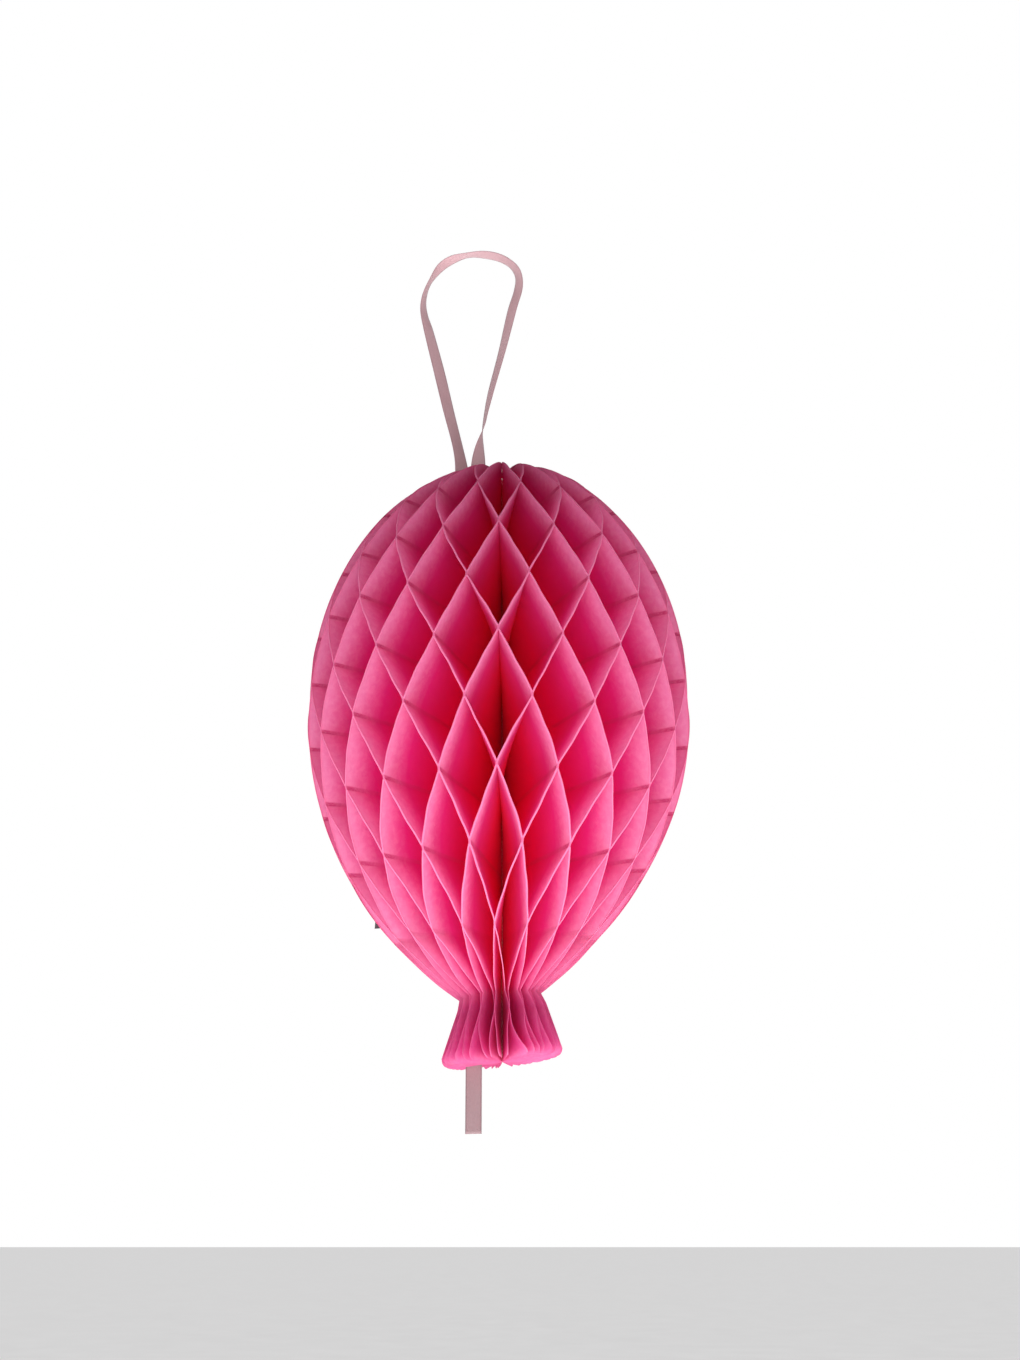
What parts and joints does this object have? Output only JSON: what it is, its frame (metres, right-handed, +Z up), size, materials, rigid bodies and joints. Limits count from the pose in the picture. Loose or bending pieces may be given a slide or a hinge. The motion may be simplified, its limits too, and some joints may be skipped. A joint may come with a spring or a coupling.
{
  "type": "paper honeycomb balloon",
  "caption": "Balloon-shaped tissue honeycomb that opens like a book round a vertical spine, hanging by a satin ribbon loop, with a gathered knot and a ribbon tail below.",
  "frame": {"origin": "inside of the top of the ribbon loop, where a hook carries the balloon", "axes": "+Z up, parallel to the spine that the leaves are bound along; -Y is the side of the balloon that faces a viewer, and the seam is at its back left"},
  "size_m": [0.1568, 0.1567, 0.3994],
  "materials": {
    "tissue": "matte",
    "card": "matte",
    "ribbon": "satin",
    "thread": "matte",
    "adhesive": "matte"
  },
  "bodies": {
    "hanging_side": {"fixed_cover": "card", "spine_thread": "thread", "adhesive_pad_1": "adhesive", "adhesive_pad_2": "adhesive", "adhesive_pad_3": "adhesive", "ribbon_loop": "ribbon", "ribbon_tuck": "ribbon", "ribbon_run": "ribbon", "ribbon_tail": "ribbon"},
    "moving_side": {"moving_cover": "card"},
    "leaf_01": {"leaf_01": "tissue"},
    "leaf_02": {"leaf_02": "tissue"},
    "leaf_03": {"leaf_03": "tissue"},
    "leaf_04": {"leaf_04": "tissue"},
    "leaf_05": {"leaf_05": "tissue"},
    "leaf_06": {"leaf_06": "tissue"},
    "leaf_07": {"leaf_07": "tissue"},
    "leaf_08": {"leaf_08": "tissue"},
    "leaf_09": {"leaf_09": "tissue"},
    "leaf_10": {"leaf_10": "tissue"},
    "leaf_11": {"leaf_11": "tissue"},
    "leaf_12": {"leaf_12": "tissue"},
    "leaf_13": {"leaf_13": "tissue"},
    "leaf_14": {"leaf_14": "tissue"},
    "leaf_15": {"leaf_15": "tissue"},
    "leaf_16": {"leaf_16": "tissue"},
    "leaf_17": {"leaf_17": "tissue"},
    "leaf_18": {"leaf_18": "tissue"},
    "leaf_19": {"leaf_19": "tissue"},
    "leaf_20": {"leaf_20": "tissue"},
    "leaf_21": {"leaf_21": "tissue"},
    "leaf_22": {"leaf_22": "tissue"},
    "leaf_23": {"leaf_23": "tissue"},
    "leaf_24": {"leaf_24": "tissue"},
    "leaf_25": {"leaf_25": "tissue"},
    "leaf_26": {"leaf_26": "tissue"},
    "leaf_27": {"leaf_27": "tissue"},
    "leaf_28": {"leaf_28": "tissue"},
    "leaf_29": {"leaf_29": "tissue"},
    "leaf_30": {"leaf_30": "tissue"},
    "leaf_31": {"leaf_31": "tissue"},
    "leaf_32": {"leaf_32": "tissue"},
    "leaf_33": {"leaf_33": "tissue"},
    "leaf_34": {"leaf_34": "tissue"},
    "leaf_35": {"leaf_35": "tissue"},
    "leaf_36": {"leaf_36": "tissue"},
    "leaf_37": {"leaf_37": "tissue"},
    "leaf_38": {"leaf_38": "tissue"},
    "leaf_39": {"leaf_39": "tissue"},
    "leaf_40": {"leaf_40": "tissue"}
  },
  "joints": [
    {"name": "cover_fold", "type": "hinge", "parent": "hanging_side", "child": "moving_side", "pos_m": [0.01332, -0.00433, -0.2468], "axis": [0, 0, 1], "range_deg": [-349.5, 0]},
    {"name": "leaf_01_fold", "type": "hinge", "parent": "hanging_side", "child": "leaf_01", "pos_m": [0.01332, -0.00433, -0.2468], "axis": [0, 0, 1], "range_deg": [-4.5, 0], "deforming": ["leaf_01"]},
    {"name": "leaf_02_fold", "type": "hinge", "parent": "hanging_side", "child": "leaf_02", "pos_m": [0.01332, -0.00433, -0.2468], "axis": [0, 0, 1], "range_deg": [-13.3, 0], "deforming": ["leaf_02"]},
    {"name": "leaf_03_fold", "type": "hinge", "parent": "hanging_side", "child": "leaf_03", "pos_m": [0.01332, -0.00433, -0.2468], "axis": [0, 0, 1], "range_deg": [-22, 0], "deforming": ["leaf_03"]},
    {"name": "leaf_04_fold", "type": "hinge", "parent": "hanging_side", "child": "leaf_04", "pos_m": [0.01332, -0.00433, -0.2468], "axis": [0, 0, 1], "range_deg": [-30.7, 0], "deforming": ["leaf_04"]},
    {"name": "leaf_05_fold", "type": "hinge", "parent": "hanging_side", "child": "leaf_05", "pos_m": [0.01332, -0.00433, -0.2468], "axis": [0, 0, 1], "range_deg": [-39.5, 0], "deforming": ["leaf_05"]},
    {"name": "leaf_06_fold", "type": "hinge", "parent": "hanging_side", "child": "leaf_06", "pos_m": [0.01332, -0.00433, -0.2468], "axis": [0, 0, 1], "range_deg": [-48.2, 0], "deforming": ["leaf_06"]},
    {"name": "leaf_07_fold", "type": "hinge", "parent": "hanging_side", "child": "leaf_07", "pos_m": [0.01332, -0.00433, -0.2468], "axis": [0, 0, 1], "range_deg": [-56.9, 0], "deforming": ["leaf_07"]},
    {"name": "leaf_08_fold", "type": "hinge", "parent": "hanging_side", "child": "leaf_08", "pos_m": [0.01332, -0.00433, -0.2468], "axis": [0, 0, 1], "range_deg": [-65.7, 0], "deforming": ["leaf_08"]},
    {"name": "leaf_09_fold", "type": "hinge", "parent": "hanging_side", "child": "leaf_09", "pos_m": [0.01332, -0.00433, -0.2468], "axis": [0, 0, 1], "range_deg": [-74.4, 0], "deforming": ["leaf_09"]},
    {"name": "leaf_10_fold", "type": "hinge", "parent": "hanging_side", "child": "leaf_10", "pos_m": [0.01332, -0.00433, -0.2468], "axis": [0, 0, 1], "range_deg": [-83.2, 0], "deforming": ["leaf_10"]},
    {"name": "leaf_11_fold", "type": "hinge", "parent": "hanging_side", "child": "leaf_11", "pos_m": [0.01332, -0.00433, -0.2468], "axis": [0, 0, 1], "range_deg": [-91.9, 0], "deforming": ["leaf_11"]},
    {"name": "leaf_12_fold", "type": "hinge", "parent": "hanging_side", "child": "leaf_12", "pos_m": [0.01332, -0.00433, -0.2468], "axis": [0, 0, 1], "range_deg": [-100.6, 0], "deforming": ["leaf_12"]},
    {"name": "leaf_13_fold", "type": "hinge", "parent": "hanging_side", "child": "leaf_13", "pos_m": [0.01332, -0.00433, -0.2468], "axis": [0, 0, 1], "range_deg": [-109.4, 0], "deforming": ["leaf_13"]},
    {"name": "leaf_14_fold", "type": "hinge", "parent": "hanging_side", "child": "leaf_14", "pos_m": [0.01332, -0.00433, -0.2468], "axis": [0, 0, 1], "range_deg": [-118.1, 0], "deforming": ["leaf_14"]},
    {"name": "leaf_15_fold", "type": "hinge", "parent": "hanging_side", "child": "leaf_15", "pos_m": [0.01332, -0.00433, -0.2468], "axis": [0, 0, 1], "range_deg": [-126.8, 0], "deforming": ["leaf_15"]},
    {"name": "leaf_16_fold", "type": "hinge", "parent": "hanging_side", "child": "leaf_16", "pos_m": [0.01332, -0.00433, -0.2468], "axis": [0, 0, 1], "range_deg": [-135.6, 0], "deforming": ["leaf_16"]},
    {"name": "leaf_17_fold", "type": "hinge", "parent": "hanging_side", "child": "leaf_17", "pos_m": [0.01332, -0.00433, -0.2468], "axis": [0, 0, 1], "range_deg": [-144.3, 0], "deforming": ["leaf_17"]},
    {"name": "leaf_18_fold", "type": "hinge", "parent": "hanging_side", "child": "leaf_18", "pos_m": [0.01332, -0.00433, -0.2468], "axis": [0, 0, 1], "range_deg": [-153.1, 0], "deforming": ["leaf_18"]},
    {"name": "leaf_19_fold", "type": "hinge", "parent": "hanging_side", "child": "leaf_19", "pos_m": [0.01332, -0.00433, -0.2468], "axis": [0, 0, 1], "range_deg": [-161.8, 0], "deforming": ["leaf_19"]},
    {"name": "leaf_20_fold", "type": "hinge", "parent": "hanging_side", "child": "leaf_20", "pos_m": [0.01332, -0.00433, -0.2468], "axis": [0, 0, 1], "range_deg": [-170.5, 0], "deforming": ["leaf_20"]},
    {"name": "leaf_21_fold", "type": "hinge", "parent": "hanging_side", "child": "leaf_21", "pos_m": [0.01332, -0.00433, -0.2468], "axis": [0, 0, 1], "range_deg": [-179.3, 0], "deforming": ["leaf_21"]},
    {"name": "leaf_22_fold", "type": "hinge", "parent": "hanging_side", "child": "leaf_22", "pos_m": [0.01332, -0.00433, -0.2468], "axis": [0, 0, 1], "range_deg": [-188, 0], "deforming": ["leaf_22"]},
    {"name": "leaf_23_fold", "type": "hinge", "parent": "hanging_side", "child": "leaf_23", "pos_m": [0.01332, -0.00433, -0.2468], "axis": [0, 0, 1], "range_deg": [-196.7, 0], "deforming": ["leaf_23"]},
    {"name": "leaf_24_fold", "type": "hinge", "parent": "hanging_side", "child": "leaf_24", "pos_m": [0.01332, -0.00433, -0.2468], "axis": [0, 0, 1], "range_deg": [-205.5, 0], "deforming": ["leaf_24"]},
    {"name": "leaf_25_fold", "type": "hinge", "parent": "hanging_side", "child": "leaf_25", "pos_m": [0.01332, -0.00433, -0.2468], "axis": [0, 0, 1], "range_deg": [-214.2, 0], "deforming": ["leaf_25"]},
    {"name": "leaf_26_fold", "type": "hinge", "parent": "hanging_side", "child": "leaf_26", "pos_m": [0.01332, -0.00433, -0.2468], "axis": [0, 0, 1], "range_deg": [-223, 0], "deforming": ["leaf_26"]},
    {"name": "leaf_27_fold", "type": "hinge", "parent": "hanging_side", "child": "leaf_27", "pos_m": [0.01332, -0.00433, -0.2468], "axis": [0, 0, 1], "range_deg": [-231.7, 0], "deforming": ["leaf_27"]},
    {"name": "leaf_28_fold", "type": "hinge", "parent": "hanging_side", "child": "leaf_28", "pos_m": [0.01332, -0.00433, -0.2468], "axis": [0, 0, 1], "range_deg": [-240.4, 0], "deforming": ["leaf_28"]},
    {"name": "leaf_29_fold", "type": "hinge", "parent": "hanging_side", "child": "leaf_29", "pos_m": [0.01332, -0.00433, -0.2468], "axis": [0, 0, 1], "range_deg": [-249.2, 0], "deforming": ["leaf_29"]},
    {"name": "leaf_30_fold", "type": "hinge", "parent": "hanging_side", "child": "leaf_30", "pos_m": [0.01332, -0.00433, -0.2468], "axis": [0, 0, 1], "range_deg": [-257.9, 0], "deforming": ["leaf_30"]},
    {"name": "leaf_31_fold", "type": "hinge", "parent": "hanging_side", "child": "leaf_31", "pos_m": [0.01332, -0.00433, -0.2468], "axis": [0, 0, 1], "range_deg": [-266.6, 0], "deforming": ["leaf_31"]},
    {"name": "leaf_32_fold", "type": "hinge", "parent": "hanging_side", "child": "leaf_32", "pos_m": [0.01332, -0.00433, -0.2468], "axis": [0, 0, 1], "range_deg": [-275.4, 0], "deforming": ["leaf_32"]},
    {"name": "leaf_33_fold", "type": "hinge", "parent": "hanging_side", "child": "leaf_33", "pos_m": [0.01332, -0.00433, -0.2468], "axis": [0, 0, 1], "range_deg": [-284.1, 0], "deforming": ["leaf_33"]},
    {"name": "leaf_34_fold", "type": "hinge", "parent": "hanging_side", "child": "leaf_34", "pos_m": [0.01332, -0.00433, -0.2468], "axis": [0, 0, 1], "range_deg": [-292.9, 0], "deforming": ["leaf_34"]},
    {"name": "leaf_35_fold", "type": "hinge", "parent": "hanging_side", "child": "leaf_35", "pos_m": [0.01332, -0.00433, -0.2468], "axis": [0, 0, 1], "range_deg": [-301.6, 0], "deforming": ["leaf_35"]},
    {"name": "leaf_36_fold", "type": "hinge", "parent": "hanging_side", "child": "leaf_36", "pos_m": [0.01332, -0.00433, -0.2468], "axis": [0, 0, 1], "range_deg": [-310.3, 0], "deforming": ["leaf_36"]},
    {"name": "leaf_37_fold", "type": "hinge", "parent": "hanging_side", "child": "leaf_37", "pos_m": [0.01332, -0.00433, -0.2468], "axis": [0, 0, 1], "range_deg": [-319.1, 0], "deforming": ["leaf_37"]},
    {"name": "leaf_38_fold", "type": "hinge", "parent": "hanging_side", "child": "leaf_38", "pos_m": [0.01332, -0.00433, -0.2468], "axis": [0, 0, 1], "range_deg": [-327.8, 0], "deforming": ["leaf_38"]},
    {"name": "leaf_39_fold", "type": "hinge", "parent": "hanging_side", "child": "leaf_39", "pos_m": [0.01332, -0.00433, -0.2468], "axis": [0, 0, 1], "range_deg": [-336.5, 0], "deforming": ["leaf_39"]},
    {"name": "leaf_40_fold", "type": "hinge", "parent": "hanging_side", "child": "leaf_40", "pos_m": [0.01332, -0.00433, -0.2468], "axis": [0, 0, 1], "range_deg": [-345.3, 0], "deforming": ["leaf_40"]}
  ],
  "couplings": [
    {"joint": "leaf_01_fold", "follows": "cover_fold", "ratio": 0.0125},
    {"joint": "leaf_02_fold", "follows": "cover_fold", "ratio": 0.0375},
    {"joint": "leaf_03_fold", "follows": "cover_fold", "ratio": 0.0625},
    {"joint": "leaf_04_fold", "follows": "cover_fold", "ratio": 0.0875},
    {"joint": "leaf_05_fold", "follows": "cover_fold", "ratio": 0.1125},
    {"joint": "leaf_06_fold", "follows": "cover_fold", "ratio": 0.1375},
    {"joint": "leaf_07_fold", "follows": "cover_fold", "ratio": 0.1625},
    {"joint": "leaf_08_fold", "follows": "cover_fold", "ratio": 0.1875},
    {"joint": "leaf_09_fold", "follows": "cover_fold", "ratio": 0.2125},
    {"joint": "leaf_10_fold", "follows": "cover_fold", "ratio": 0.2375},
    {"joint": "leaf_11_fold", "follows": "cover_fold", "ratio": 0.2625},
    {"joint": "leaf_12_fold", "follows": "cover_fold", "ratio": 0.2875},
    {"joint": "leaf_13_fold", "follows": "cover_fold", "ratio": 0.3125},
    {"joint": "leaf_14_fold", "follows": "cover_fold", "ratio": 0.3375},
    {"joint": "leaf_15_fold", "follows": "cover_fold", "ratio": 0.3625},
    {"joint": "leaf_16_fold", "follows": "cover_fold", "ratio": 0.3875},
    {"joint": "leaf_17_fold", "follows": "cover_fold", "ratio": 0.4125},
    {"joint": "leaf_18_fold", "follows": "cover_fold", "ratio": 0.4375},
    {"joint": "leaf_19_fold", "follows": "cover_fold", "ratio": 0.4625},
    {"joint": "leaf_20_fold", "follows": "cover_fold", "ratio": 0.4875},
    {"joint": "leaf_21_fold", "follows": "cover_fold", "ratio": 0.5125},
    {"joint": "leaf_22_fold", "follows": "cover_fold", "ratio": 0.5375},
    {"joint": "leaf_23_fold", "follows": "cover_fold", "ratio": 0.5625},
    {"joint": "leaf_24_fold", "follows": "cover_fold", "ratio": 0.5875},
    {"joint": "leaf_25_fold", "follows": "cover_fold", "ratio": 0.6125},
    {"joint": "leaf_26_fold", "follows": "cover_fold", "ratio": 0.6375},
    {"joint": "leaf_27_fold", "follows": "cover_fold", "ratio": 0.6625},
    {"joint": "leaf_28_fold", "follows": "cover_fold", "ratio": 0.6875},
    {"joint": "leaf_29_fold", "follows": "cover_fold", "ratio": 0.7125},
    {"joint": "leaf_30_fold", "follows": "cover_fold", "ratio": 0.7375},
    {"joint": "leaf_31_fold", "follows": "cover_fold", "ratio": 0.7625},
    {"joint": "leaf_32_fold", "follows": "cover_fold", "ratio": 0.7875},
    {"joint": "leaf_33_fold", "follows": "cover_fold", "ratio": 0.8125},
    {"joint": "leaf_34_fold", "follows": "cover_fold", "ratio": 0.8375},
    {"joint": "leaf_35_fold", "follows": "cover_fold", "ratio": 0.8625},
    {"joint": "leaf_36_fold", "follows": "cover_fold", "ratio": 0.8875},
    {"joint": "leaf_37_fold", "follows": "cover_fold", "ratio": 0.9125},
    {"joint": "leaf_38_fold", "follows": "cover_fold", "ratio": 0.9375},
    {"joint": "leaf_39_fold", "follows": "cover_fold", "ratio": 0.9625},
    {"joint": "leaf_40_fold", "follows": "cover_fold", "ratio": 0.9875}
  ]
}
